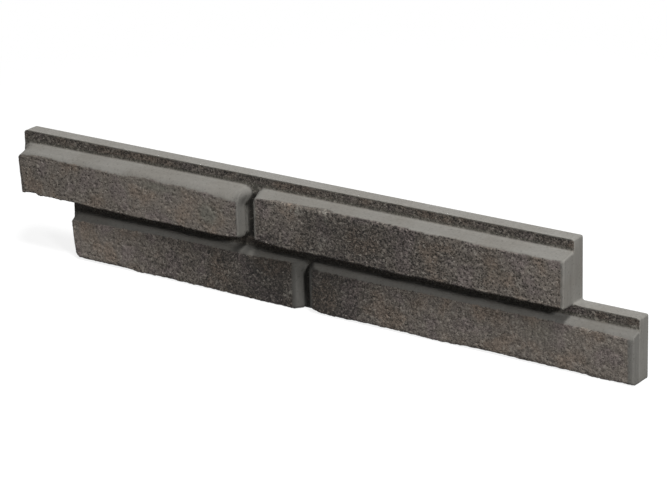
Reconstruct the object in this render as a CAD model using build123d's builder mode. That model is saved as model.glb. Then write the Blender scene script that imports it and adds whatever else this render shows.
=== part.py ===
"""Concrete cladding tile, cast in one piece: two courses of two long bricks on one backing plate.

The lower course is moved sideways against the upper one, so that the stepped ends of neighbouring tiles
interlock. Above each course's bricks a strip of bare plate, the lip, makes the bed joint under the next course.

Millimetres. +X runs along the courses to the right, +Y points to the wall and +Z up. The origin is the centre
of the tile's underside.
"""
import os
from typing import NamedTuple

from build123d import *

# The plate
lower_course = 602.5  # length of the lower course, end to end
left_step = 57.0  # the upper course starts this far to the left of it
right_step = 62.5  # and ends this far short of its right end
course_pitch = 57.5  # height of a course with its bed joint
plate_thickness = 15.0
plate_corner = 2.0  # radius of the plate's corners, seen from the front
back_arris = 1.5  # radius around the back

# The bricks
upper_projection = 17.0  # how far each course's bricks stand out of the plate
lower_projection = 10.0
bed_joint = 11.0  # height of the lip above a course's bricks
upper_left_brick = 263.5  # length of the left bricks at the plate; the right ones take the rest
lower_left_brick = 263.0
top_fall = 2.5  # a brick's top falls by this much from the plate to the front
front_arris = 3.0  # radius along the front edges

# The upright joint between the two bricks of a course
upper_joint = 9.25  # its width at the plate
lower_joint = 7.0
joint_draft = 2.0  # its left side opens by this much towards the front
joint_flare = 5.5  # and its right side by this much
joint_shoulder = 7.0  # radius of the bricks' upper corners at the joint, seen from the front
joint_foot = 3.5  # radius of their lower corners
worn_foot = 6.5  # and of the one that is worn, on the lower right brick

# The left ends, where the next tile's right ends close up
upper_draft = 4.5  # the end opens by this much towards the front
lower_draft = 3.0
upper_lean = 3.0  # and leans in by this much towards its underside
lower_lean = 4.0
upper_shoulder = 8.0  # radius of its upper corner, seen from the front
lower_shoulder = 4.0
upper_foot = 3.5  # radius of its lower corner
lower_foot = 8.0

brick_height = course_pitch - bed_joint
thickness = plate_thickness + max(upper_projection, lower_projection)
plate_front = thickness / 2 - plate_thickness
lower_end = (left_step + lower_course) / 2
lower_start = lower_end - lower_course
upper_start = lower_start - left_step
upper_end = lower_end - right_step


class BrickEnd(NamedTuple):
    """How one end of a brick is shaped: its slopes, and the radii of its two corners seen from the front."""

    draft: float = 0.0
    lean: float = 0.0
    foot: float = 0.0
    shoulder: float = 0.0


def brick(base, projection, start, end, at_start, at_end):
    """Returns one brick. base is the height of its underside, start and end are where its ends meet the plate."""
    with BuildPart() as body:
        # The outline at the plate, then the smaller one at the front
        for depth, draft, fall in ((0.0, 0.0, 0.0), (projection, 1.0, top_fall)):
            left = start + draft * at_start.draft
            right = end - draft * at_end.draft
            top = base + brick_height - fall
            with BuildSketch(Plane.XZ.offset(depth - plate_front)) as outline:
                with BuildLine():
                    Polyline(
                        (left + at_start.lean, base), (right, base), (right, top), (left, top), close=True,
                    )
                make_face()
                for level, left_radius, right_radius in (
                    (0, at_start.foot, at_end.foot), (-1, at_start.shoulder, at_end.shoulder),
                ):
                    fillet(outline.vertices().group_by(Axis.Y)[level].sort_by(Axis.X)[0], radius=left_radius)
                    if right_radius:
                        fillet(outline.vertices().group_by(Axis.Y)[level].sort_by(Axis.X)[-1], radius=right_radius)
        loft(ruled=True)
        fillet(body.faces().sort_by(Axis.Y)[0].edges(), radius=front_arris)
    return body.part


joint_left = BrickEnd(draft=joint_draft, foot=joint_foot, shoulder=joint_shoulder)
joint_right = BrickEnd(draft=joint_flare, foot=joint_foot, shoulder=joint_shoulder)
flush_end = BrickEnd()
upper_left_end = BrickEnd(upper_draft, upper_lean, upper_foot, upper_shoulder)
lower_left_end = BrickEnd(lower_draft, lower_lean, lower_foot, lower_shoulder)
upper_joint_start = upper_start + upper_left_brick
lower_joint_start = lower_start + lower_left_brick
bricks = [
    brick(course_pitch, upper_projection, upper_start, upper_joint_start, upper_left_end, joint_left),
    brick(course_pitch, upper_projection, upper_joint_start + upper_joint, upper_end, joint_right, flush_end),
    brick(0.0, lower_projection, lower_start, lower_joint_start, lower_left_end, joint_left),
    brick(
        0.0, lower_projection, lower_joint_start + lower_joint, lower_end,
        joint_right._replace(foot=worn_foot), flush_end,
    ),
]

with BuildPart() as cladding_tile:
    with BuildSketch(Plane.XZ.offset(-plate_front)) as plate_outline:
        with BuildLine():
            Polyline(
                (lower_start, 0), (lower_end, 0), (lower_end, course_pitch), (upper_end, course_pitch),
                (upper_end, 2 * course_pitch), (upper_start, 2 * course_pitch), (upper_start, course_pitch),
                (lower_start, course_pitch), close=True,
            )
        make_face()
        # Under the flush right ends of the bricks the plate's corners stay as square as theirs
        flush_corners = [
            plate_outline.vertices().group_by(Axis.Y)[0].sort_by(Axis.X)[-1],
            plate_outline.vertices().group_by(Axis.Y)[1].sort_by(Axis.X)[-2],
        ]
        fillet(plate_outline.vertices() - flush_corners, radius=plate_corner)
    extrude(amount=-plate_thickness)
    fillet(cladding_tile.edges().group_by(Axis.Y)[-1], radius=back_arris)
    add(bricks)

cladding_tile.part.label = "cladding_tile"

os.makedirs("parts", exist_ok=True)
export_step(cladding_tile.part, "parts/cladding_tile.step")
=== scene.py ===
"""Dresses the concrete cladding tile: two staggered courses of two long bricks, cast on one backing plate.

The tile is one casting, so it is one piece. Its smooth skin came out of the mould on the tops, the ends and
the sides of the upright joints. The faces of the bricks and lips are split, with coarse grain, pits and
broken arrises, and each brick's lower edge is worn in its own way.
"""
import logging
import math
from dataclasses import dataclass
from enum import Enum
from typing import NamedTuple

import bmesh
import bpy
from mathutils import Matrix, Vector, noise


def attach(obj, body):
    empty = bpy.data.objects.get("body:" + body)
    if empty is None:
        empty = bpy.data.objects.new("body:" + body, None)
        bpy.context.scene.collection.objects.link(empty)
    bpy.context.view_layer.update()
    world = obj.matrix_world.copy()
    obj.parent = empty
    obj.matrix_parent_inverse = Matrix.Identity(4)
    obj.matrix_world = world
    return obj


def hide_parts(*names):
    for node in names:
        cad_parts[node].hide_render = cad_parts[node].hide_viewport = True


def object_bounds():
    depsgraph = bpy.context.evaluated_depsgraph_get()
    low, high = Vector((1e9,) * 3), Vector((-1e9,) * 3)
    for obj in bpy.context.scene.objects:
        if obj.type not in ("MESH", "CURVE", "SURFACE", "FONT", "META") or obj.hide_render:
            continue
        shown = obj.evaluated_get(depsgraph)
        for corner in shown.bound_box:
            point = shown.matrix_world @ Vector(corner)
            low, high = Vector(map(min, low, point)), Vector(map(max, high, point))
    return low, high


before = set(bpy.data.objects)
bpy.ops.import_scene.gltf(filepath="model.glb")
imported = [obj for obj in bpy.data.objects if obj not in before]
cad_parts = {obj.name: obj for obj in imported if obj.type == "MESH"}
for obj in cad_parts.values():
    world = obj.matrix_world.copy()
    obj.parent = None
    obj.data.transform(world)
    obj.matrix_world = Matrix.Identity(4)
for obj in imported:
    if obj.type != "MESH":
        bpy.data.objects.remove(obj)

logging.basicConfig(level=logging.INFO, format="%(name)s: %(message)s")
log = logging.getLogger("cladding_tile")

CAD_BOX = [list(corner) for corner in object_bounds()]

MM = 0.001
NODE = "cladding_tile"
PIECE = "cladding_tile_cast"
MERGE_DISTANCE = 0.00001
SEED_SHIFT = (1.0, 0.7, 1.3)
PATCH_SHIFT = (3.1, 7.7, 1.9)
PATTERN_SHIFT = (1.0, 0.37, 0.71)
SPECK_CORE = 0.4
SMOOTH = {"interpolation_type": "SMOOTHSTEP"}

Colour = tuple[float, float, float]


def srgb(red: int, green: int, blue: int) -> Colour:
    """Turns a colour as it looks on a screen into the linear one that a shader takes.

    Args:
        red: The red part, from 0 to 255.
        green: The green part.
        blue: The blue part.

    Returns:
        The three linear parts, from 0 to 1.
    """
    def linear(part: int) -> float:
        """One part of the colour."""
        share = part / 255
        return share / 12.92 if share <= 0.04045 else ((share + 0.055) / 1.055) ** 2.4

    return linear(red), linear(green), linear(blue)


def direction(azimuth: float, elevation: float) -> Vector:
    """The way from the tile to where something stands, by its angles in degrees; azimuth 0 is in front."""
    az, el = math.radians(azimuth), math.radians(elevation)
    return Vector((math.sin(az) * math.cos(el), -math.cos(az) * math.cos(el), math.sin(el)))


def pull(inward: float, down: float, radius: float) -> tuple[float, float]:
    """How far a point that lies outside a rounded corner moves to lie on it.

    Args:
        inward: How far it is from the corner's one side.
        down: How far it is from the other side.
        radius: The corner's radius.

    Returns:
        The moves inward and down, 0 where the point lies inside.
    """
    arm = Vector((radius - inward, radius - down))
    if min(arm) <= 0.0 or arm.length <= radius:
        return 0.0, 0.0
    kept = arm * (radius / arm.length)
    return arm.x - kept.x, arm.y - kept.y


class Ramp(NamedTuple):
    """A smooth rise from 0 at low to 1 at high, or a fall where low is the larger."""

    low: float
    high: float

    def at(self, value: float) -> float:
        """How far along the ramp a value is, from 0 to 1."""
        share = min(1.0, max(0.0, (value - self.low) / (self.high - self.low)))
        return share * share * (3.0 - 2.0 * share)


class Waves(NamedTuple):
    """Waves in a surface, by their length and depth in millimetres.

    Each further octave is so much finer than the last, and falls off in strength.
    """

    length: float
    depth: float
    octaves: int = 1
    falloff: float = 1.0
    finer: float = 2.0

    def at(self, place: Vector) -> float:
        """How high the surface stands at a place, above or below 0."""
        return self.depth * noise.fractal(place / self.length, self.falloff, self.finer, self.octaves)


@dataclass(frozen=True)
class Profile:
    """A smooth curve through a few places along the tile, in millimetres.

    Attributes:
        knots: Pairs of a place along X and the value there, in rising order of X.
    """

    knots: tuple[tuple[float, float], ...]

    def at(self, x: float) -> float:
        """Reads the curve.

        Args:
            x: The place along the tile.

        Returns:
            The value there; past the ends, that of the nearest knot.
        """
        if x <= self.knots[0][0]:
            return self.knots[0][1]
        for (x0, v0), (x1, v1) in zip(self.knots, self.knots[1:]):
            if x <= x1:
                return v0 + (v1 - v0) * Ramp(x0, x1).at(x)
        return self.knots[-1][1]


class Effect(Enum):
    """What a mark on a brick's face does; each is an attribute that the mesh carries."""

    TONE = "tone"
    SMEAR = "smear"
    BLOOM = "bloom"
    COMB = "comb"


ATTRIBUTES = ("split", "hollow", *(effect.value for effect in Effect))


@dataclass(frozen=True)
class Mark:
    """A soft patch on the brick faces where the concrete came out in its own way.

    Attributes:
        effect: What it does there.
        x: Its middle along the tile, in millimetres.
        z: Its middle up the tile.
        across: How far it reaches to each side.
        up: How far it reaches up and down.
        amount: How strong it is.
        fade: How quickly it fades outwards.
    """

    effect: Effect
    x: float
    z: float
    across: float
    up: float
    amount: float
    fade: float = 1.6

    def at(self, x: float, z: float) -> float:
        """How much of the mark shows at a place."""
        reach = ((x - self.x) / self.across) ** 2 + ((z - self.z) / self.up) ** 2
        return self.amount * math.exp(-self.fade * reach)


class CourseForm(NamedTuple):
    """Where a course lies, in millimetres.

    Attributes:
        base: The underside of its bricks.
        front: Y of their fronts.
        top_tone: How light their tops are, as a share.
        left: X of the course's left end.
        right: X of its right end.
    """

    base: float
    front: float
    top_tone: float
    left: float
    right: float


class Course(CourseForm, Enum):
    """The two courses of the tile."""

    LOWER = CourseForm(base=0.0, front=-9.0, top_tone=0.77, left=-272.75, right=329.75)
    UPPER = CourseForm(base=57.5, front=-16.0, top_tone=1.0, left=-329.75, right=267.25)


@dataclass(frozen=True)
class Brick:
    """One brick face of the casting and how it came out of the splitting; lengths are in millimetres.

    Attributes:
        course: The course that it stands in.
        left: X of the left end of its front.
        right: X of the right end of its front.
        right_cheek: How far the smooth skin reaches from the right end over the front.
        side_tone: How light the side at the joint is, as a share.
        moves: How far its end at the joint is moved to the right, at the front and at the plate.
        grain: How far the grain reaches over the top's arris and back; negative where the skin rolls down.
        wear: How far the lower front edge is worn up.
        tone: How light the front is, as a share.
        seed: Sets its own grain apart from the others'.
        left_cheek: How far the skin reaches from the left end, or 0.
        smooth: How far its grain is smeared over as a whole, from 0 to 1.
        flare: How far the top of its end at the joint reaches on at the plate.
        shoulder: Radius of the upper corner of the outer left end, and 0 where there is none.
        sag: How far the top lies below the plain form's.
        left_run: How far it reaches past the left end of its front, at the plate.
        right_run: How far it reaches past the right end.
        slack: How far past its bottom and its top a place still counts as its own.
        height: How far above its underside its own places reach.
    """

    course: Course
    left: float
    right: float
    right_cheek: float
    side_tone: float
    moves: tuple[float, float]
    grain: Profile
    wear: Profile
    tone: Profile
    seed: float
    left_cheek: float = 0.0
    smooth: float = 0.0
    flare: float = 0.0
    shoulder: float = 0.0
    sag: Profile = Profile(((0.0, 0.0),))
    left_run: float = 7.0
    right_run: float = 4.0
    slack: float = 1.0
    height: float = 57.0

    def holds(self, x: float, z: float) -> bool:
        """Whether a place on the tile's front belongs to this brick."""
        beside = self.left - self.left_run <= x <= self.right + self.right_run
        return beside and self.course.base - self.slack <= z < self.course.base + self.height


BRICKS = (
    Brick(
        Course.UPPER, left=-325.2, right=-68.9, right_cheek=0.4, side_tone=0.8, smooth=0.3,
        moves=(-0.65, -3.6), flare=6.5, shoulder=13.0,
        sag=Profile(((-328, 1.9), (-300, 1.3), (-250, 0.8), (-190, 0.2), (-150, 0.0))),
        grain=Profile((
            (-326, -3.0), (-290, -1.6), (-273, -2.9), (-249, -3.8), (-225, -4.1), (-202, -5.4), (-182, -3.4),
            (-167, -2.8), (-150, -4.4), (-132, -4.0), (-110, -4.9), (-87, -7.3), (-76, -8.2), (-70, -8.0),
        )),
        wear=Profile((
            (-323, 0.2), (-314, 1.6), (-306, 2.3), (-301, 0.6), (-262, 1.1), (-228, -0.2), (-204, 0.1),
            (-181, -0.4), (-150, 0.5), (-135, 0.7), (-112, -0.5), (-95, -0.6), (-80, 0.3), (-70, 1.6),
        )),
        tone=Profile(((-322, 1.12), (-262, 1.1), (-222, 1.16), (-180, 1.28), (-140, 1.3), (-80, 1.2))),
        seed=11.0,
    ),
    Brick(
        Course.UPPER, left=-50.8, right=267.2, left_cheek=0.4, right_cheek=2.6, side_tone=0.78,
        moves=(0.75, 0.0),
        grain=Profile((
            (-50, -1.2), (-43, 0.6), (-21, 3.3), (1, 3.4), (12, 4.6), (22, 6.4), (34, 3.0), (43, 2.3),
            (75, 3.0), (106, 2.1), (126, -0.2), (150, 1.0), (187, -0.8), (226, -1.0), (263, -0.7),
        )),
        wear=Profile((
            (-50, 2.9), (-34, 1.5), (-12, 0.3), (10, 1.0), (84, 0.5), (105, -0.4), (126, 1.0), (156, 0.6),
            (186, 0.1), (206, 0.5), (260, 0.2),
        )),
        tone=Profile((
            (-48, 0.88), (-15, 0.95), (10, 0.62), (60, 0.56), (90, 0.66), (130, 0.78), (180, 0.94),
            (262, 1.16),
        )),
        seed=23.0,
    ),
    Brick(
        Course.LOWER, left=-269.7, right=-11.7, right_cheek=4.0, side_tone=0.46, moves=(0.0, 2.6), flare=3.0,
        shoulder=10.0,
        sag=Profile(((-272, 2.0), (-250, 1.2), (-220, 0.5), (-180, 0.0))),
        grain=Profile(((-270, -3.5), (-200, -2.0), (-120, -0.5), (-62, -1.2), (-28, 1.0))),
        wear=Profile((
            (-262, 1.4), (-214, 1.6), (-190, 0.1), (-167, 0.6), (-120, 0.4), (-75, 0.0), (-41, -0.8),
            (-20, -0.8), (-11, 0.9),
        )),
        tone=Profile((
            (-268, 1.34), (-205, 1.32), (-176, 0.96), (-135, 0.82), (-95, 0.56), (-50, 0.32), (-24, 0.3),
        )),
        seed=37.0,
    ),
    Brick(
        Course.LOWER, left=3.4, right=329.7, left_cheek=0.6, right_cheek=5.0, side_tone=0.22,
        moves=(0.75, 0.0),
        grain=Profile(((4, -1.5), (60, -2.0), (140, -1.0), (289, -0.6), (318, -1.3))),
        wear=Profile((
            (6, 2.6), (14, 1.0), (30, 0.6), (57, 1.5), (99, 1.2), (140, 0.1), (181, 1.6), (221, 1.0),
            (260, 0.8), (299, -0.3), (326, 0.4),
        )),
        tone=Profile(((4, 0.27), (40, 0.5), (80, 0.94), (150, 1.1), (220, 1.12), (300, 1.16))),
        seed=53.0,
    ),
)

# Each mark has its effect, its X and Z, how far it reaches across and up, and its amount.
MARKS = (
    Mark(Effect.TONE, -35, 62, 34, 12, -0.36),
    Mark(Effect.TONE, -14, 92, 26, 10, 0.14),
    Mark(Effect.TONE, 62, 88, 44, 16, -0.08),
    Mark(Effect.TONE, -15, 22, 9, 24, 0.18),
    Mark(Effect.SMEAR, -102, 76, 13, 11, 0.85),
    Mark(Effect.SMEAR, -158, 92, 30, 7, 0.5),
    Mark(Effect.SMEAR, 202, 78, 20, 12, 0.5),
    Mark(Effect.SMEAR, 243, 30, 44, 20, 0.55),
    Mark(Effect.SMEAR, -245, 26, 22, 16, 0.4),
    Mark(Effect.COMB, 243, 28, 40, 18, 1.0),
    Mark(Effect.COMB, -60, 82, 14, 20, 0.5),
    Mark(Effect.BLOOM, -8, 97, 13, 6, 1.0),
    Mark(Effect.BLOOM, 30, 100, 12, 8, 1.0),
    Mark(Effect.BLOOM, 25, 69, 8, 9, 0.9),
    Mark(Effect.BLOOM, -17, 14, 7, 9, 0.9),
    Mark(Effect.BLOOM, -13, 42, 8, 5, 0.6),
)


@dataclass
class Finish:
    """One point of the finished surface.

    Attributes:
        place: Where it is, in millimetres.
        split: How split the surface is, from 0 (skin) to 1.
        hollow: How deep in a hollow it lies, from 0 to 1.
        tone: How light it is, as a share.
        smear: How far its grain is smeared over, from 0 to 1.
    """

    place: Vector
    split: float = 0.0
    hollow: float = 0.0
    tone: float = 1.0
    smear: float = 0.0


@dataclass(frozen=True)
class Grain:
    """The split surface; sizes are in millimetres.

    Attributes:
        swell: The broad swells.
        lump: The lumps.
        stone: The coarse grains.
        low_place: Which heights of the coarse grains' waves are low places.
        stone_hollow: How far a low place counts as a hollow.
        pit: The distance between the pits, and how deep they are.
        pit_wall: Where a pit's wall starts and ends, as shares of that distance.
        pit_hollow: How far a pit counts as a hollow.
        patch: Size of the patches whose pits are alike.
        shallow_patches: How many of the patches have shallow pits, as a share.
        shallow: How deep those pits are, as a share.
    """

    swell: Waves = Waves(55.0, 0.25)
    lump: Waves = Waves(13.0, 0.20, octaves=2)
    stone: Waves = Waves(2.7, 0.34, octaves=3, falloff=0.8, finer=2.1)
    low_place: Ramp = Ramp(-0.034, 0.238)
    stone_hollow: float = 0.6
    pit: Waves = Waves(3.5, 0.8)
    pit_wall: Ramp = Ramp(0.44, 0.14)
    pit_hollow: float = 0.65
    patch: float = 9.0
    shallow_patches: float = 0.1
    shallow: float = 0.25

    def at(self, place: Vector, seed: float) -> tuple[float, float]:
        """How deep the split surface lies at a place, and how far it is down a hollow.

        Args:
            place: The point on the plain form, in millimetres.
            seed: Sets one brick's grain apart from the others'.

        Returns:
            The depth in millimetres, and from 0 to 1 how far the point is down a hollow.
        """
        spot = place + Vector([seed * part for part in SEED_SHIFT])
        stone = self.stone.at(spot)
        depth = sum(waves.depth for waves in (self.swell, self.lump, self.stone))
        depth += self.swell.at(spot) + self.lump.at(spot) + stone
        distances, _ = noise.voronoi(spot / self.pit.length)
        patch = noise.cell(spot / self.patch + Vector(PATCH_SHIFT))
        pit = self.pit_wall.at(distances[0]) * (1.0 if patch > self.shallow_patches else self.shallow)
        hollow = min(1.0, self.pit_hollow * pit + self.stone_hollow * self.low_place.at(stone))
        return depth + self.pit.depth * pit, hollow


@dataclass
class Casting:
    """The tile itself, made from the solid of the CAD model.

    Lengths are in millimetres. A ramp says over which distance something sets in or ends, and its heights are
    those above the top of the bricks at the plate.
    """

    # The mesh: its spacing, and the large faces of the plain back with their rim; sizes are in metres.
    voxel: float = 0.00125
    back_patch: float = 0.024
    back_rim: int = 3
    squarely: float = 0.9999

    # The plain form; the layer at the back stays plain, and a brick's top falls to its front.
    plate_front: float = 1.0
    back: float = 16.0
    plain_back: float = 2.0
    lip_height: float = 11.0
    pitch: float = 57.5
    fall: float = 2.5
    arris: float = 3.0

    # Arrises that the even mesh blunted are pushed out, and hollow corners in; the seam lies between
    # the courses and moves with the surface's slant.
    crisp: float = 0.45
    arris_slant: Ramp = Ramp(0.02, 0.25)
    corner_margin: float = 2.0
    corner_reach: float = 1.8
    seam: float = 0.6

    # Where a surface is split: it lies flat below some uprightness, or turns to the front; its borders
    # are ragged.
    flat: float = 0.05
    front_turn: Ramp = Ramp(0.35, 0.85)
    top_split: Ramp = Ramp(3.5, 0.5)
    ragged: Waves = Waves(4.2, 1.0, octaves=3)
    ragged_reach: float = 1.5
    brick_start: float = 0.5
    split_edge: Ramp = Ramp(-1.0, 1.0)
    cheek_edge: Ramp = Ramp(-0.4, 1.2)
    no_cheek: float = 9.0

    # How deep it is split: the lower bricks less, and every border as a share.
    lower_proud: float = 0.4
    edge_depth: float = 0.25
    depth_run: Ramp = Ramp(0.0, 3.5)
    grain: Grain = Grain()

    # The sides of the upright joints; the upper one's are lighter deep down, which is painted light.
    side_level: Ramp = Ramp(0.3, 0.7)
    side_reach: Ramp = Ramp(14.0, 11.0)
    deep_reach: Ramp = Ramp(8.0, 3.0)
    deep_height: Ramp = Ramp(-3.0, -12.0)
    deep_painted_light: float = 1.75

    # The lips: how far back they reach, their border, grain, smeared foot and tones.
    lip_reach: float = 1.2
    lip_edge: Ramp = Ramp(0.4, 1.4)
    lip_ragged: float = 0.9
    lip_seed: float = 5.0
    lip_depth: float = 0.5
    lip_run: Ramp = Ramp(0.4, 2.5)
    lip_smear: float = 0.75
    lip_foot: Ramp = Ramp(4.5, 9.0)
    lip_tone: float = 0.6
    lip_top_tone: float = 1.08

    # Painted shade at the bottom of the upright joints, which reaches higher on the left.
    root_painted_shade: float = 0.3
    root_width: Ramp = Ramp(9.5, 6.5)
    root_height: Ramp = Ramp(-5.0, -9.0)
    root_slope: float = 0.5
    root_depth: Ramp = Ramp(-1.4, -0.3)

    # Painted shade on the lower bricks' top below the upper joint.
    under_joint_shade: float = 0.56
    under_joint_shade_at: float = -73.0
    under_joint_shade_reach: Ramp = Ramp(13.0, 5.0)

    # The smooth skin, which lies a little deep as a whole.
    skin_ripple: Waves = Waves(9.0, 0.10, octaves=2)
    skin_wave: Waves = Waves(38.0, 0.2)
    skin_low: float = 0.05

    # The moves of the bricks' ends at the joints, and the tops that sag.
    flare_rise: Ramp = Ramp(-18.0, -4.0)
    end_reach: Ramp = Ramp(10.0, 1.0)
    joint_slack: float = 2.0
    end_top: Ramp = Ramp(3.0, 0.0)
    sag_back: float = 3.0
    sag_rise: Ramp = Ramp(-12.0, -5.0)
    sag_fall: Ramp = Ramp(9.0, 1.0)

    # The worn upper left corners of the plate and the bricks, which are drafted.
    plate_left: float = -329.75
    plate_corner: float = 5.0
    corner_wear: Waves = Waves(7.0, 0.8)
    plate_slack: float = 1.0
    left_draft: float = 4.0

    # The front arrises: the upper one is rounder where the skin rolls down, and the upper bricks'
    # lower one is squarer than round, which is 2; each foot is worn up.
    roll_growth: float = 1.1
    squareness: int = 5
    foot_rise: float = 0.3
    foot_wear: Waves = Waves(6.0, 0.6, octaves=2)
    foot_height: Ramp = Ramp(9.0, 0.0)
    foot_depth: Ramp = Ramp(8.0, 1.0)
    bricks: tuple[Brick, ...] = BRICKS

    def build(self) -> bpy.types.Object:
        """Makes the casting.

        Returns:
            The object, at the origin, with its place in its mesh.
        """
        mesh = self.even_mesh()
        piece = bpy.data.objects.new(PIECE, mesh)
        bpy.context.scene.collection.objects.link(piece)
        self.carve(mesh)
        return piece

    def even_mesh(self) -> bpy.types.Mesh:
        """Turns the solid's long triangles into an even mesh, with large faces only on the plain back.

        Returns:
            The new mesh.
        """
        form = bmesh.new()
        form.from_mesh(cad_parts[NODE].data)
        bmesh.ops.remove_doubles(form, verts=form.verts, dist=MERGE_DISTANCE)
        bmesh.ops.recalc_face_normals(form, faces=form.faces)
        rough_mesh = bpy.data.meshes.new("cast_form")
        form.to_mesh(rough_mesh)
        form.free()
        helper = bpy.data.objects.new("cast_form", rough_mesh)
        bpy.context.scene.collection.objects.link(helper)
        remesh = helper.modifiers.new("even", "REMESH")
        remesh.mode = "VOXEL"
        remesh.voxel_size = self.voxel
        evaluated = helper.evaluated_get(bpy.context.evaluated_depsgraph_get())
        mesh = bpy.data.meshes.new_from_object(evaluated)
        bpy.data.objects.remove(helper)
        bpy.data.meshes.remove(rough_mesh)
        form = bmesh.new()
        form.from_mesh(mesh)
        bmesh.ops.recalc_face_normals(form, faces=form.faces)
        self.widen_back(form)
        for face in form.faces:
            face.smooth = True
        form.to_mesh(mesh)
        form.free()
        mesh.name = PIECE
        return mesh

    def widen_back(self, form: bmesh.types.BMesh) -> None:
        """Joins the small faces of the flat back into large ones, away from its edges.

        Args:
            form: The even mesh.
        """
        flat = {face for face in form.faces if face.normal.y > self.squarely}
        for _ in range(self.back_rim):
            flat = {
                face for face in flat
                if all(other in flat for vert in face.verts for other in vert.link_faces)
            }
        inner = []
        for edge in form.edges:
            if len(edge.link_faces) == 2 and all(face in flat for face in edge.link_faces):
                if self.patch_of(edge.link_faces[0]) == self.patch_of(edge.link_faces[1]):
                    inner.append(edge)
        bmesh.ops.dissolve_edges(form, edges=inner, use_verts=True, use_face_split=False)

    def patch_of(self, face: bmesh.types.BMFace) -> tuple[int, ...]:
        """Which large face of the back a small one goes into, counted along X and Z."""
        centre = face.calc_center_median()
        return tuple(math.floor((centre[axis] - CAD_BOX[0][axis]) / self.back_patch) for axis in (0, 2))

    def carve(self, mesh: bpy.types.Mesh) -> None:
        """Moves the vertices into the split, pitted and worn surface, and notes on each how it came out.

        Args:
            mesh: The even mesh, which is changed.
        """
        values: dict[str, list[float]] = {name: [] for name in ATTRIBUTES}
        normals = [vert.normal.copy() for vert in mesh.vertices]
        for vert, normal in zip(mesh.vertices, normals):
            place = vert.co / MM
            finish = self.surface(place, normal)
            vert.co = self.inside(finish.place) * MM
            values["split"].append(finish.split)
            values["hollow"].append(finish.hollow)
            own = {Effect.TONE: finish.tone, Effect.SMEAR: finish.smear}
            for effect in Effect:
                marks = sum(mark.at(place.x, place.z) for mark in MARKS if mark.effect is effect)
                values[effect.value].append(own.get(effect, 0.0) + marks * finish.split)
        for name in ATTRIBUTES:
            mesh.attributes.new(name, "FLOAT", "POINT")
        for name in ATTRIBUTES:
            mesh.attributes[name].data.foreach_set("value", values[name])
        mesh.update()

    def inside(self, point: Vector) -> Vector:
        """The nearest point, in millimetres, that lies in the CAD model's box."""
        low, high = CAD_BOX
        return Vector(min(max(part, start / MM), end / MM) for part, start, end in zip(point, low, high))

    def brick_at(self, x: float, z: float) -> Brick | None:
        """Finds the brick whose face a place belongs to, if any."""
        return next((brick for brick in self.bricks if brick.holds(x, z)), None)

    def course_at(self, place: Vector, normal: Vector) -> Course:
        """Finds a place's course; where the two meet, undersides belong to the upper one."""
        return Course.LOWER if place.z < self.pitch + self.seam * normal.z else Course.UPPER

    def top(self, course: Course) -> float:
        """Height of a course's bricks at the plate."""
        return course.base + self.pitch - self.lip_height

    def ahead(self, point: Vector, course: Course) -> float:
        """How far in front of the plate a point lies, from 0 at the plate to 1 at the bricks' fronts."""
        return (self.plate_front - point.y) / (self.plate_front - course.front)

    def joint(self, course: Course) -> float:
        """X of the middle of a course's upright joint."""
        left, right = (brick for brick in self.bricks if brick.course is course)
        return (left.right + right.left) / 2

    def surface(self, place: Vector, normal: Vector) -> Finish:
        """Works out one point of the finished surface.

        Args:
            place: The point on the plain form, in millimetres.
            normal: The form's outward direction there.

        Returns:
            The finished point.
        """
        brick = self.brick_at(place.x, place.z)
        course = brick.course if brick else self.course_at(place, normal)
        slant = 1.0 - max(abs(part) for part in normal)
        push = -self.crisp if self.in_corner(place, course) else self.crisp
        finish = Finish(place + normal * push * self.arris_slant.at(slant))
        self.wear_corners(finish.place)
        if place.y > self.back - self.plain_back:
            return finish
        level = math.hypot(normal.x, normal.y)
        facing = self.front_turn.at(-normal.y / level) if level > self.flat else 0.0
        ragged = self.ragged.at(place)
        depth = 0.0
        if brick is not None and place.y < self.plate_front - self.brick_start:
            if level <= self.flat:
                facing = self.top_split.at(place.y - course.front)
            depth = self.on_brick(finish, brick, place, facing, ragged)
            self.tint_brick(finish, brick, place, level)
        elif place.y < self.plate_front + self.lip_reach:
            depth = self.on_lip(finish, course, place, facing, ragged)
        # Painted shade at the bottom of the upright joints.
        finish.tone *= 1.0 + (self.root_painted_shade - 1.0) * self.root(place, course)
        # Painted shade on the lower bricks' top below the upper joint.
        if course is Course.LOWER:
            under_joint_shade = self.under_joint_shade * self.under_joint_shade_reach.at(abs(place.x - self.under_joint_shade_at))
            finish.tone *= 1.0 - under_joint_shade * (1.0 - finish.split)
        self.settle(finish.place, course)
        skin = self.skin_low + self.skin_ripple.at(place) + self.skin_wave.at(place)
        depth = finish.split * depth + (1.0 - finish.split) * max(0.0, skin)
        finish.place -= normal * depth
        finish.hollow *= finish.split
        return finish

    def on_brick(self, finish: Finish, brick: Brick, place: Vector, facing: float, ragged: float) -> float:
        """Splits and wears a point of a brick.

        Args:
            finish: The point, which is changed.
            brick: The brick.
            place: The point on the plain form.
            facing: How far the surface there is one that was split, from 0 to 1.
            ragged: Noise that makes the split faces' borders ragged.

        Returns:
            How deep the split surface lies.
        """
        reach = brick.grain.at(place.x)
        below = self.top(brick.course) - self.fall - place.z
        under = reach - (place.y - brick.course.front - below) - self.ragged_reach * ragged
        cheeks = ragged + min(
            place.x - brick.left - brick.left_cheek if brick.left_cheek else self.no_cheek,
            brick.right - brick.right_cheek - place.x,
        )
        finish.split = facing * self.split_edge.at(under) * self.cheek_edge.at(cheeks)
        self.round_top(finish.place, max(0.0, -reach), brick.course)
        self.wear_foot(finish.place, brick)
        if finish.split == 0.0:
            return 0.0
        depth, finish.hollow = self.grain.at(place, brick.seed)
        if brick.course is Course.LOWER:
            depth -= self.lower_proud
        return depth * (self.edge_depth + (1.0 - self.edge_depth) * self.depth_run.at(under))

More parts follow.
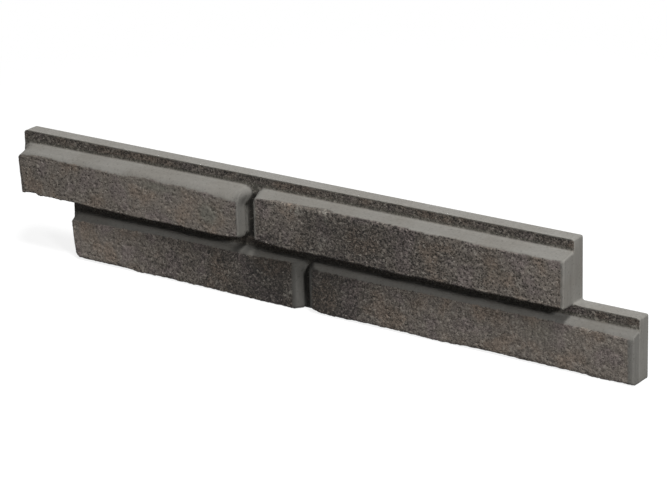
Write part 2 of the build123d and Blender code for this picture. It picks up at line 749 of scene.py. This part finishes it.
    def tint_brick(self, finish: Finish, brick: Brick, place: Vector, level: float) -> None:
        """Gives a point of a brick its tone.

        Args:
            finish: The point, which is changed.
            brick: The brick.
            place: The point on the plain form.
            level: How upright the surface is there, from 0 to 1.
        """
        course = brick.course
        at_joint = self.side_level.at(level) * self.side_reach.at(abs(place.x - self.joint(course)))
        skin_tone = course.top_tone + (brick.side_tone - course.top_tone) * at_joint
        # Painted light deep on the upper joint's sides.
        if course is Course.UPPER:
            deep = at_joint * self.deep_reach.at(self.plate_front - place.y)
            deep *= self.deep_height.at(place.z - self.top(course))
            skin_tone *= 1.0 + (self.deep_painted_light - 1.0) * deep
        finish.tone = skin_tone + (brick.tone.at(place.x) - skin_tone) * finish.split
        finish.smear = brick.smooth

    def on_lip(self, finish: Finish, course: Course, place: Vector, facing: float, ragged: float) -> float:
        """Splits and tints a point of a lip.

        Args:
            finish: The point, which is changed.
            course: The lip's course.
            place: The point on the plain form.
            facing: How far the surface there is one that was split, from 0 to 1.
            ragged: Noise that makes the split faces' borders ragged.

        Returns:
            How deep the split surface lies.
        """
        under = course.base + self.pitch - place.z - (place.y - self.plate_front)
        finish.split = facing * self.lip_edge.at(under + self.lip_ragged * ragged)
        finish.tone = self.lip_top_tone + (self.lip_tone - self.lip_top_tone) * finish.split
        finish.smear = self.lip_smear * self.lip_foot.at(under)
        if finish.split == 0.0:
            return 0.0
        depth, finish.hollow = self.grain.at(place, self.lip_seed)
        return depth * self.lip_depth * self.lip_run.at(under)

    def in_corner(self, place: Vector, course: Course) -> bool:
        """Whether a place lies in a hollow corner, where a brick stands on the plate.

        Args:
            place: The place on the plain form, in millimetres.
            course: Its course.

        Returns:
            True there, and False on the plate's own arrises.
        """
        open_top = course is Course.UPPER or place.x > Course.UPPER.right - self.corner_margin
        if open_top and place.z > course.base + self.pitch - self.corner_margin:
            return False
        between = course.left + self.corner_margin < place.x < course.right - self.corner_margin
        return between and abs(place.y - self.plate_front) < self.corner_reach

    def root(self, place: Vector, course: Course) -> float:
        """How far a place is down at the bottom of an upright joint, where it is darkened as painted shade.

        Args:
            place: The place on the plain form, in millimetres.
            course: Its course.

        Returns:
            A share from 0 to 1.
        """
        across = place.x - self.joint(course)
        height = self.root_height.at(place.z + self.root_slope * across - self.top(course))
        return self.root_width.at(abs(across)) * height * self.root_depth.at(place.y - self.plate_front)

    def settle(self, point: Vector, course: Course) -> None:
        """Moves the bricks' ends at the joints, and lowers the tops that sag.

        Args:
            point: The point, which is moved.
            course: Its course.
        """
        ahead = min(1.0, max(0.0, self.ahead(point, course)))
        middle = self.joint(course)
        for brick in self.bricks:
            if brick.course is not course:
                continue
            height = point.z - self.top(course)
            at_front, at_plate = brick.moves
            at_plate += brick.flare * self.flare_rise.at(height)
            move = at_plate + (at_front - at_plate) * ahead
            end = brick.right if brick.right < middle else brick.left
            reach = self.end_reach
            if (point.x - end) * (end - middle) <= 0.0:
                reach = reach._replace(low=abs(end - middle) + self.joint_slack)
            point.x += move * reach.at(abs(point.x - end)) * self.end_top.at(height)
            if brick.holds(point.x, point.z) and point.y < self.back - self.sag_back:
                point.z -= brick.sag.at(point.x) * self.sag_rise.at(height) * self.sag_fall.at(height)

    def wear_corners(self, point: Vector) -> None:
        """Rounds the upper left corners of the plate and the bricks, which are worn.

        Args:
            point: The point, which is moved.
        """
        if point.y > self.plate_front - self.plate_slack:
            radius = self.plate_corner + self.corner_wear.at(point)
            self.round_corner(point, self.plate_left, 2.0 * self.pitch, radius)
            return
        for brick in self.bricks:
            top = self.top(brick.course)
            if brick.shoulder and brick.course.base - brick.slack <= point.z < top + brick.slack:
                ahead = self.ahead(point, brick.course)
                end = brick.left - self.left_draft * (1.0 - ahead)
                self.round_corner(point, end, top - self.fall * ahead, brick.shoulder)

    def round_corner(self, point: Vector, left: float, top: float, radius: float) -> None:
        """Rounds an upper left corner.

        Args:
            point: The point, which is moved.
            left: X of the corner's left side.
            top: Height of its top.
            radius: The corner's radius.
        """
        inward, down = pull(point.x - left, top - point.z, radius)
        point.x += inward
        point.z -= down

    def round_top(self, point: Vector, roll: float, course: Course) -> None:
        """Rounds a brick's upper front arris where the skin rolls over it.

        Args:
            point: The point, which is moved.
            roll: How far the skin rolls down over the front.
            course: The brick's course.
        """
        top = self.top(course) - self.fall * self.ahead(point, course)
        inward, down = pull(point.y - course.front, top - point.z, self.arris + roll * self.roll_growth)
        point.y += inward
        point.z -= down

    def wear_foot(self, point: Vector, brick: Brick) -> None:
        """Sharpens an upper brick's lower front edge, and raises each brick's where it is worn.

        Args:
            point: The point, which is moved.
            brick: Its brick.
        """
        front, base = brick.course.front, brick.course.base
        inward = self.arris - (point.y - front)
        low = self.arris - (point.z - base)
        if brick.course is Course.UPPER and inward > 0.0 and low > 0.0:
            square = (inward ** self.squareness + low ** self.squareness) ** (1.0 / self.squareness)
            share = square / math.hypot(inward, low)
            point.y -= inward * (1.0 / share - 1.0)
            point.z -= low * (1.0 / share - 1.0)
        rise = brick.wear.at(point.x) + self.foot_wear.at(point) + self.foot_rise
        point.z += max(0.0, rise) * self.foot_height.at(point.z - base) * self.foot_depth.at(point.y - front)


class Pattern(NamedTuple):
    """A noise, cells or specks on the tile's own coordinates.

    Attributes:
        shift: How far the coordinates are moved, so that no two patterns are alike.
        scale: Features to a metre.
        detail: How many octaves a noise has.
        rough: How strong its finer octaves are.
        stretch: How much denser the pattern is along each axis.
        radius: A speck's radius, as a share of the distance between the places for one.
        share: How many of those places have a speck.
    """

    shift: float
    scale: float
    detail: float = 2.0
    rough: float = 0.5
    stretch: tuple[float, float, float] = (1.0, 1.0, 1.0)
    radius: float = 0.0
    share: float = 0.0


class Span(NamedTuple):
    """Between which values something sets in, smoothly, and how strong it gets."""

    low: float
    high: float
    most: float = 1.0


class Sheet:
    """The nodes of one material or of the world, written as Python expressions."""

    def __init__(self, owner: bpy.types.Material | bpy.types.World) -> None:
        """Empties the owner's nodes.

        Args:
            owner: The material or the world.
        """
        owner.use_nodes = True
        self.tree = owner.node_tree
        self.tree.nodes.clear()

    def node(self, kind: str, settings: dict | None = None, **values: object) -> bpy.types.Node:
        """Adds a node.

        Args:
            kind: The node's type.
            settings: What is set on the node itself, such as its operation.
            values: The values or links of its inputs; spaces in their names are written as underscores, and a
                number after the last underscore picks an input by its place.

        Returns:
            The new node.
        """
        made = self.tree.nodes.new(kind)
        for key, value in (settings or {}).items():
            setattr(made, key, value)
        for key, value in values.items():
            socket = made.inputs[int(key[1:])] if key[1:].isdigit() else made.inputs[key.replace("_", " ")]
            self.join(value, socket)
        return made

    def join(self, value: object, socket: bpy.types.NodeSocket) -> None:
        """Links or sets one input.

        Args:
            value: A Value, a node's output, or plain numbers.
            socket: The input.
        """
        if isinstance(value, Value):
            value = value.socket
        if isinstance(value, bpy.types.NodeSocket):
            self.tree.links.new(value, socket)
        elif isinstance(value, tuple) and len(value) == 3 and socket.type == "RGBA":
            socket.default_value = (*value, 1.0)
        else:
            socket.default_value = value

    def attribute(self, name: str) -> "Value":
        """Reads a number that the mesh carries."""
        return Value(self, self.node("ShaderNodeAttribute", {"attribute_name": name}).outputs["Fac"])

    def shade(self, value: "Value") -> bpy.types.NodeSocket:
        """Turns a number into a grey, to multiply a colour by."""
        return self.node("ShaderNodeCombineXYZ", X=value, Y=value, Z=value).outputs[0]

    def mix(self, share: object, first: object, second: object, blend: str = "MIX") -> bpy.types.NodeSocket:
        """Mixes a share of the second colour into the first, blended as said."""
        settings = {"data_type": "RGBA", "blend_type": blend, "clamp_factor": True}
        return self.node("ShaderNodeMix", settings, _0=share, _6=first, _7=second).outputs[2]

    def place(self, pattern: Pattern) -> bpy.types.NodeSocket:
        """Reads the tile's own coordinates, moved and stretched for a pattern.

        Args:
            pattern: The pattern.

        Returns:
            The coordinates' output.
        """
        own = self.node("ShaderNodeTexCoord").outputs["Object"]
        shifts = tuple(pattern.shift * part for part in PATTERN_SHIFT)
        return self.node("ShaderNodeMapping", Vector=own, Location=shifts, Scale=pattern.stretch).outputs[0]

    def noise(self, pattern: Pattern) -> "Value":
        """Adds an even noise.

        Args:
            pattern: Its scale and octaves.

        Returns:
            A number from 0 to 1.
        """
        made = self.node(
            "ShaderNodeTexNoise", Vector=self.place(pattern), Scale=pattern.scale, Detail=pattern.detail,
            Roughness=pattern.rough,
        )
        return Value(self, made.outputs["Fac"])

    def cells(self, pattern: Pattern) -> tuple["Value", "Value", "Value"]:
        """Adds cells.

        Args:
            pattern: Their scale.

        Returns:
            Two numbers from 0 to 1 that each cell has for its own, and the distance from its middle.
        """
        made = self.node("ShaderNodeTexVoronoi", Vector=self.place(pattern), Scale=pattern.scale)
        parts = self.node("ShaderNodeSeparateColor", Color=made.outputs["Color"])
        return tuple(Value(self, output) for output in (*parts.outputs[:2], made.outputs["Distance"]))

    def specks(self, pattern: Pattern) -> "Value":
        """Adds round specks: 1 in a speck, and 0 between them."""
        _, choice, distance = self.cells(pattern)
        inside = distance.span(pattern.radius, pattern.radius * SPECK_CORE)
        return inside * choice.math("LESS_THAN", pattern.share)


class Value:
    """A number on its way through the nodes, which can be reckoned with as in Python."""

    def __init__(self, sheet: Sheet, socket: bpy.types.NodeSocket) -> None:
        """Wraps an output of a sheet's nodes."""
        self.sheet = sheet
        self.socket = socket

    def math(self, operation: str, other: object) -> "Value":
        """Adds a Math node that works on this number and another."""
        made = self.sheet.node("ShaderNodeMath", {"operation": operation}, _0=self, _1=other)
        return Value(self.sheet, made.outputs[0])

    def __add__(self, other: object) -> "Value":
        """Adds."""
        return self.math("ADD", other)

    __radd__ = __add__

    def __mul__(self, other: object) -> "Value":
        """Multiplies."""
        return self.math("MULTIPLY", other)

    __rmul__ = __mul__

    def __sub__(self, other: object) -> "Value":
        """Takes away."""
        return self.math("SUBTRACT", other)

    def __rsub__(self, other: float) -> "Value":
        """Takes this from a number."""
        return (self * -1.0) + other

    def swing(self, amount: float) -> "Value":
        """Turns 0 to 1 into a swing about 0, as wide as the amount."""
        return (self - 0.5) * amount

    def span(self, low: float, high: float, most: float = 1.0) -> "Value":
        """Spreads the values between low and high smoothly over 0 to the most."""
        made = self.sheet.node("ShaderNodeMapRange", SMOOTH, _0=self, _1=low, _2=high, _4=most)
        return Value(self.sheet, made.outputs[0])


@dataclass(frozen=True)
class Concrete:
    """The tile's concrete: smooth grey skin, and a split face with dark and light grains.

    A swing is how much a pattern makes the tone vary, and a relief is how much it stands out.
    """

    # The patterns.
    clouds: Pattern = Pattern(shift=0.0, scale=22.0, detail=3.0)
    hue: Pattern = Pattern(shift=1.7, scale=34.0)
    blotch: Pattern = Pattern(shift=5.1, scale=95.0)
    grit: Pattern = Pattern(shift=3.9, scale=430.0, rough=0.7)
    fine: Pattern = Pattern(shift=0.4, scale=760.0, detail=1.0, rough=0.6)
    drawn: Pattern = Pattern(shift=7.7, scale=420.0, stretch=(1.0, 1.0, 0.07))
    veins: Pattern = Pattern(shift=9.2, scale=210.0, detail=3.0, rough=0.6, stretch=(1.0, 1.0, 0.6))
    coarse_grain: Pattern = Pattern(shift=2.3, scale=430.0)
    fine_grain: Pattern = Pattern(shift=6.1, scale=820.0)
    speck: Pattern = Pattern(shift=4.4, scale=400.0, radius=0.42, share=0.42)
    small_speck: Pattern = Pattern(shift=8.3, scale=640.0, radius=0.45, share=0.4)

    # The smooth skin: duller in its clouds, with faint drawn lines and a few dark grains.
    skin: Colour = srgb(127, 125, 120)
    skin_dull: Colour = srgb(120, 117, 111)
    dull: Span = Span(0.35, 0.7)
    line_swing: float = 0.35
    skin_grain: Span = Span(0.9, 1.0, 0.25)

    # The split face between the grains: here browner, there mauve, and faintly green where it is smeared.
    paste: Colour = srgb(112, 105, 98)
    warm: Colour = srgb(116, 105, 95)
    warm_hue: Span = Span(0.5, 0.66)
    mauve: Colour = srgb(112, 103, 100)
    mauve_hue: Span = Span(0.48, 0.36, 0.8)
    moss: Colour = srgb(104, 101, 93)
    moss_smear: Span = Span(0.2, 0.9)

    # How its tone varies: the grain is stronger on a dark face, and a smear takes some of it away.
    dim_grain: float = 4.3
    tone_grain: float = 2.6
    least_grain: float = 1.1
    smoothing: float = 0.6
    fine_swing: float = 0.5
    grit_swing: float = 1.0
    coarse_swing: float = 0.3
    blotch_swing: float = 0.35
    comb_swing: float = 1.6
    least_tone: float = 0.05

    # Dark grains, painted shade in the hollows, light grains, and the whitish bloom along the veins.
    dark_grain_and_shade: Colour = srgb(40, 36, 32)
    speck_dark: float = 0.66
    small_speck_dark: float = 0.56
    fine_dark: Span = Span(0.58, 0.68, 0.3)
    most_dark: float = 0.92
    hollow_painted_shade: Span = Span(0.3, 1.0, 0.5)
    light_grain: Colour = srgb(158, 153, 144)
    coarse_light: Span = Span(0.94, 0.99, 0.4)
    fine_light: Span = Span(0.92, 0.98, 0.5)
    tone_light: float = 0.3
    least_light: float = 0.5
    bloom: Colour = srgb(160, 156, 147)
    bloom_veins: Span = Span(0.5, 0.6, 0.6)

    # How rough the surface is, its reflections, and its finest relief, whose depth is in metres.
    roughness: float = 0.82
    roughness_swing: float = 0.2
    specular: float = 0.35
    bump_depth: float = 0.0006
    bump_strength: float = 0.6
    grit_relief: float = 0.7
    fine_relief: float = 0.7
    coarse_relief: float = 0.3
    speck_relief: float = 0.5
    small_speck_relief: float = 0.3
    split_relief: float = 0.9
    skin_relief: float = 0.1

    def build(self) -> bpy.types.Material:
        """Makes the material.

        Returns:
            The material.
        """
        material = bpy.data.materials.new("cast_concrete")
        sheet = Sheet(material)
        split, hollow, tone, smear, bloom, comb = (sheet.attribute(name) for name in ATTRIBUTES)
        noises = (self.clouds, self.hue, self.blotch, self.grit, self.fine, self.drawn, self.veins)
        clouds, hue, blotch, grit, fine, drawn, veins = (sheet.noise(pattern) for pattern in noises)
        coarse_grain, fine_grain = (sheet.cells(grain)[0] for grain in (self.coarse_grain, self.fine_grain))
        speck, small_speck = (sheet.specks(pattern) for pattern in (self.speck, self.small_speck))

        skin = sheet.mix(clouds.span(*self.dull), self.skin, self.skin_dull)
        skin = sheet.mix(1.0, skin, sheet.shade(drawn.swing(self.line_swing) + 1.0), "MULTIPLY")
        skin = sheet.mix(fine_grain.span(*self.skin_grain), skin, self.dark_grain_and_shade)
        skin = sheet.mix(1.0, skin, sheet.shade(tone), "MULTIPLY")

        rest = 1.0 - smear * self.smoothing
        strength = (self.dim_grain - tone * self.tone_grain).math("MAXIMUM", self.least_grain) * rest
        contrast = fine_grain.swing(self.fine_swing) + grit.swing(self.grit_swing)
        contrast = (contrast + coarse_grain.swing(self.coarse_swing)) * strength
        contrast = contrast + blotch.swing(self.blotch_swing) + comb * drawn.swing(self.comb_swing)
        level = (tone * (contrast + 1.0)).math("MAXIMUM", self.least_tone)
        dark = speck * self.speck_dark + small_speck * self.small_speck_dark + fine.span(*self.fine_dark)
        light = coarse_grain.span(*self.coarse_light) + fine_grain.span(*self.fine_light)
        paste = sheet.mix(hue.span(*self.warm_hue), self.paste, self.warm)
        paste = sheet.mix(hue.span(*self.mauve_hue), paste, self.mauve)
        paste = sheet.mix(smear.span(*self.moss_smear), paste, self.moss)
        paste = sheet.mix(1.0, paste, sheet.shade(level), "MULTIPLY")
        paste = sheet.mix((dark * strength).math("MINIMUM", self.most_dark), paste, self.dark_grain_and_shade)
        # Painted shade in the hollows, in the dark grains' colour.
        paste = sheet.mix(hollow.span(*self.hollow_painted_shade) * rest, paste, self.dark_grain_and_shade)
        paste = sheet.mix(light * (tone * self.tone_light + self.least_light), paste, self.light_grain)
        paste = sheet.mix(bloom * veins.span(*self.bloom_veins), paste, self.bloom)

        relief = grit.swing(self.grit_relief) + fine.swing(self.fine_relief)
        relief = relief + coarse_grain.swing(self.coarse_relief)
        relief = relief - speck * self.speck_relief - small_speck * self.small_speck_relief
        relief = relief * (split * rest * self.split_relief + self.skin_relief)
        bump = sheet.node("ShaderNodeBump", Strength=self.bump_strength, Distance=self.bump_depth)
        sheet.join(relief, bump.inputs["Height"])
        shader = sheet.node(
            "ShaderNodeBsdfPrincipled", Base_Color=sheet.mix(split, skin, paste), Normal=bump.outputs[0],
            Roughness=fine.swing(self.roughness_swing) + self.roughness, Specular_IOR_Level=self.specular,
        )
        sheet.node("ShaderNodeOutputMaterial", Surface=shader.outputs[0])
        return material


@dataclass(frozen=True)
class Lamp:
    """A softbox that looks at the tile.

    Attributes:
        name: What it is called.
        azimuth: Where it stands round the tile, in degrees; 0 is in front and 90 to the right.
        elevation: How high it stands, in degrees.
        size: Its side, in metres.
        power: Its power, in watts.
        distance: How far away it is, in metres.
    """

    name: str
    azimuth: float
    elevation: float
    size: float
    power: float
    distance: float = 5.2

    def build(self, target: Vector) -> None:
        """Puts the softbox up.

        Args:
            target: What it looks at.
        """
        light = bpy.data.lights.new(self.name, "AREA")
        light.shape = "SQUARE"
        light.size = self.size
        light.energy = self.power
        lamp = bpy.data.objects.new(self.name, light)
        back = direction(self.azimuth, self.elevation)
        lamp.location = target + back * self.distance
        lamp.rotation_euler = back.to_track_quat("Z", "Y").to_euler()
        bpy.context.scene.collection.objects.link(lamp)


@dataclass(frozen=True)
class View:
    """The photograph's camera.

    Attributes:
        azimuth: Where it stands round the tile, in degrees.
        elevation: How high it looks down from, in degrees.
        roll: How far it is turned about its own axis, in degrees.
        lens: Focal length, in millimetres.
        sensor: Width of its sensor, in millimetres.
        distance: How far it is from its target, in metres.
        target: What it looks at, in metres.
        clip_end: How far it sees, in metres.
    """

    azimuth: float = 35.518
    elevation: float = 20.028
    roll: float = -1.627
    lens: float = 156.05
    sensor: float = 36.0
    distance: float = 2.5563
    target: tuple[float, float, float] = (0.012561, 0.016, 0.053639)
    clip_end: float = 30.0

    def build(self) -> None:
        """Puts the camera up and makes it the scene's."""
        az, roll = math.radians(self.azimuth), math.radians(self.roll)
        across = Vector((math.cos(az), math.sin(az), 0.0))
        back = direction(self.azimuth, self.elevation)
        up = back.cross(across)
        right = across * math.cos(roll) + up * math.sin(roll)
        top = up * math.cos(roll) - across * math.sin(roll)
        data = bpy.data.cameras.new("photo_view")
        data.lens = self.lens
        data.sensor_width = self.sensor
        data.clip_end = self.clip_end
        camera = bpy.data.objects.new("photo_view", data)
        place = Vector(self.target) + back * self.distance
        turn = Matrix((right, top, back)).transposed()
        camera.matrix_world = Matrix.Translation(place) @ turn.to_4x4()
        bpy.context.scene.collection.objects.link(camera)
        bpy.context.scene.camera = camera


@dataclass(frozen=True)
class Studio:
    """The plain pale floor, the background and the lights.

    Attributes:
        floor_size: Side of the floor, in metres.
        floor_tone: How pale the floor is where it is seen near the tile.
        floor_glow: What it adds there, so that it stays pale in the tile's shadow.
        fade: Between which distances from the tile the floor turns plain white, in metres.
        floor_bounce: How pale it is to the light that bounces off it.
        ambient: How strongly the surroundings light the tile.
        aim: What the softboxes look at, in metres.
        lamps: The softboxes.
    """

    floor_size: float = 30.0
    floor_tone: float = 0.20
    floor_glow: float = 0.85
    fade: Span = Span(0.42, 0.9)
    floor_bounce: float = 0.05
    ambient: float = 0.05
    aim: tuple[float, float, float] = (0.0, 0.0, 0.05)
    lamps: tuple[Lamp, ...] = (
        Lamp("high_softbox", azimuth=50.0, elevation=68.0, size=1.2, power=245.0),
        Lamp("low_softbox", azimuth=59.0, elevation=27.0, size=0.75, power=150.0),
        Lamp("back_softbox", azimuth=216.0, elevation=14.0, size=2.0, power=104.0),
    )

    def build(self) -> None:
        """Builds the studio."""
        self.floor()
        self.world()
        for lamp in self.lamps:
            lamp.build(Vector(self.aim))
        bpy.context.scene.view_settings.view_transform = "Standard"

    def seen(self, sheet: Sheet) -> Value:
        """Whether a ray comes from the camera, straight or by way of a mirror or glass.

        Args:
            sheet: The nodes that ask.

        Returns:
            1 where it does, else 0.
        """
        path = sheet.node("ShaderNodeLightPath")
        rays = ("Is Camera Ray", "Is Glossy Ray", "Is Transmission Ray")
        camera, glossy, through = (Value(sheet, path.outputs[ray]) for ray in rays)
        return (camera + glossy + through).math("MINIMUM", 1.0)

    def floor(self) -> None:
        """Lays the floor: pale where it is seen, with the tile's shadow, and dim to bounced light."""
        form = bmesh.new()
        bmesh.ops.create_grid(form, x_segments=1, y_segments=1, size=self.floor_size / 2)
        mesh = bpy.data.meshes.new("floor")
        form.to_mesh(mesh)
        form.free()
        floor = bpy.data.objects.new("floor", mesh)
        bpy.context.scene.collection.objects.link(floor)
        material = bpy.data.materials.new("pale_floor")
        mesh.materials.append(material)
        sheet = Sheet(material)
        white = (1.0, 1.0, 1.0)
        diffuse = sheet.node("ShaderNodeBsdfDiffuse", Color=(self.floor_tone,) * 3)
        glow = sheet.node("ShaderNodeEmission", Color=white, Strength=self.floor_glow)
        near = sheet.node("ShaderNodeAddShader", _0=diffuse.outputs[0], _1=glow.outputs[0])
        far = sheet.node("ShaderNodeEmission", Color=white, Strength=1.0)
        own = sheet.node("ShaderNodeTexCoord").outputs["Object"]
        length = sheet.node("ShaderNodeVectorMath", {"operation": "LENGTH"}, Vector=own)
        away = Value(sheet, length.outputs["Value"]).span(*self.fade)
        pale = sheet.node("ShaderNodeMixShader", _0=away, _1=near.outputs[0], _2=far.outputs[0])
        dim = sheet.node("ShaderNodeBsdfDiffuse", Color=(self.floor_bounce,) * 3)
        both = sheet.node("ShaderNodeMixShader", _0=self.seen(sheet), _1=dim.outputs[0], _2=pale.outputs[0])
        sheet.node("ShaderNodeOutputMaterial", Surface=both.outputs[0])

    def world(self) -> None:
        """Makes the surroundings: white to the eye, and dim to the tile."""
        world = bpy.data.worlds.new("studio")
        bpy.context.scene.world = world
        sheet = Sheet(world)
        strength = self.seen(sheet) * (1.0 - self.ambient) + self.ambient
        background = sheet.node("ShaderNodeBackground", Strength=strength)
        sheet.node("ShaderNodeOutputWorld", Surface=background.outputs[0])


def main() -> None:
    """Builds the tile, dresses it, and sets up the studio and the camera."""
    casting = Casting().build()
    casting.data.materials.append(Concrete().build())
    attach(casting, "root")
    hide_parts(NODE)
    faces = sum(len(polygon.vertices) - 2 for polygon in casting.data.polygons)
    log.info("%s: %d vertices, %d triangles", casting.name, len(casting.data.vertices), faces)
    Studio().build()
    View().build()


if __name__ == "__main__":
    main()
